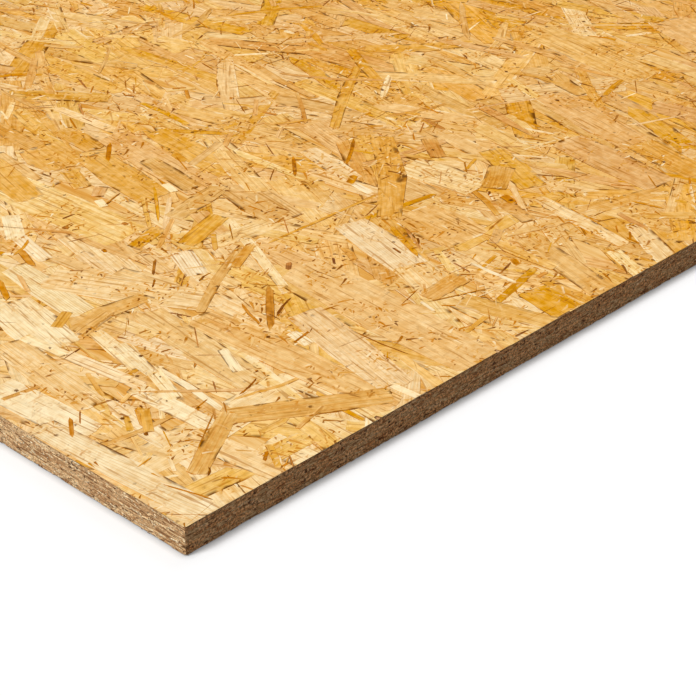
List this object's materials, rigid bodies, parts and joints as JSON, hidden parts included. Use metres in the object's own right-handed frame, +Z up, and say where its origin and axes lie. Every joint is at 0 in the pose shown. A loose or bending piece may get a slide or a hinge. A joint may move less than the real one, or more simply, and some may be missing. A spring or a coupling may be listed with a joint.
{
  "type": "osb panel",
  "caption": "Square-edged oriented strand board panel: a flat sheet of pressed wood strands with sawn sides, lying flat.",
  "frame": {"origin": "centre of the underside", "axes": "+X along the sheet's length, its strong axis, +Y across its width, +Z up through its thickness"},
  "size_m": [2.5, 1.25, 0.018],
  "materials": {
    "osb": "pressed softwood strands under clear resin, unsanded; sides sawn and darker"
  },
  "bodies": {
    "root": {"osb_panel": "osb"}
  },
  "joints": []
}
